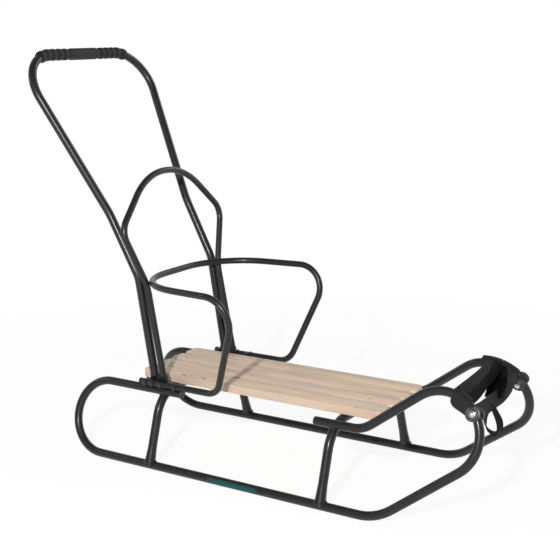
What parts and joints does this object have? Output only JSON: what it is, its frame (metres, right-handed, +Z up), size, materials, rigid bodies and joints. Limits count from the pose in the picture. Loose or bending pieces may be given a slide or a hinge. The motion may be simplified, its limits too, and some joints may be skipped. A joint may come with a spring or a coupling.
{
  "type": "child's push sled",
  "caption": "Bent steel tube child's sled with round runners, slatted wooden seat, guard hoop, backrest arch, push handle and webbing tow strap.",
  "frame": {"origin": "middle of the part's box, on the floor under the runners", "axes": "+X forward to the nose, +Y to the left, +Z up"},
  "size_m": [1.0476, 0.401, 0.883],
  "materials": {
    "frame_paint": "gloss black powder coat",
    "seat_wood": "planed pale pine, clear oil",
    "batten_wood": "sawn pale pine",
    "grip_rubber": "matt moulded rubber",
    "plug_plastic": "matt moulded plastic",
    "washer_plastic": "matt moulded plastic",
    "bolt_zinc": "bright zinc plate",
    "bolt_black": "black oxide",
    "webbing": "woven black webbing"
  },
  "bodies": {
    "root": {"side_frame_left": "frame_paint", "side_frame_right": "frame_paint", "end_plugs": "plug_plastic", "rear_arch": "frame_paint", "front_arch": "frame_paint", "seat_slats": "seat_wood", "seat_battens": "batten_wood", "guard_hoop": "frame_paint", "guard_lugs": "frame_paint", "backrest_arch": "frame_paint", "push_handle": "frame_paint", "handle_grip": "grip_rubber", "guard_bolts": "bolt_black", "leg_bolts": "bolt_black", "nose_washers": "washer_plastic", "nose_bolts": "bolt_zinc", "tow_strap": "webbing"}
  },
  "joints": []
}
